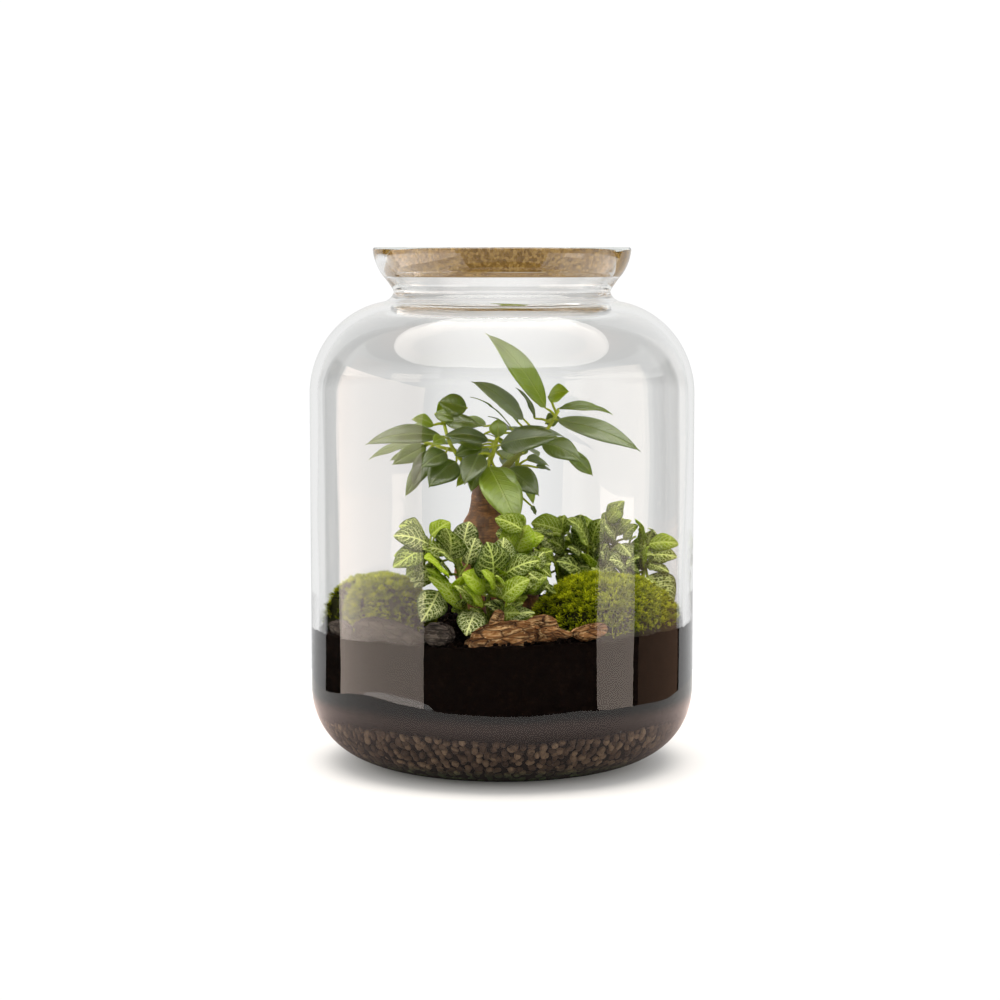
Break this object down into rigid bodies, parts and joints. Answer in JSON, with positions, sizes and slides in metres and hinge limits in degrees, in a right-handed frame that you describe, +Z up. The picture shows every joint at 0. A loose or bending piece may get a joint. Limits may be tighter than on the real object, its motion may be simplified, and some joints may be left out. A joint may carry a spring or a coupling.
{
  "type": "glass plant terrarium",
  "caption": "Round clear glass jar with a flared rim and a tapered cork lid, planted with a fig bonsai, nerve plants, moss and bark on soil over gravel.",
  "frame": {"origin": "centre of the jar's foot, on the surface that it stands on", "axes": "+Z up along the jar's axis, -Y towards the side with the bark and the front nerve plants, +X to the right of it"},
  "size_m": [0.23, 0.23, 0.309],
  "materials": {
    "glass": "clear, polished",
    "cork": "agglomerated cork, matte",
    "gravel": "matte brown grains",
    "soil": "damp, crumbly",
    "moss": "velvety",
    "bark": "rough, layered",
    "grey_bark": "rough, weathered",
    "trunk": "smooth skin, satin",
    "fig_leaf": "glossy, leathery",
    "nerve_leaf": "satin, pale net of veins"
  },
  "bodies": {
    "root": {"glass_jar": "glass", "cork_lid": "cork", "gravel_layer": "gravel", "potting_soil": "soil", "moss_left": "moss", "moss_right": "moss", "bark_1": "bark", "bark_2": "grey_bark", "bark_3": "grey_bark", "bark_4": "bark", "bark_5": "bark", "bark_6": "bark", "bark_7": "grey_bark", "bark_8": "bark", "ficus_trunk": "trunk", "ficus_shoot_left": "fig_leaf", "ficus_shoot_centre": "fig_leaf", "ficus_shoot_right": "fig_leaf", "ficus_shoot_low": "fig_leaf", "ficus_shoot_back": "fig_leaf", "fittonia_front_left": "nerve_leaf", "fittonia_front_centre": "nerve_leaf", "fittonia_front_right": "nerve_leaf", "fittonia_front_low": "nerve_leaf", "fittonia_back_left": "nerve_leaf", "fittonia_back_centre": "nerve_leaf", "fittonia_back_right": "nerve_leaf", "fittonia_right": "nerve_leaf"}
  },
  "joints": []
}
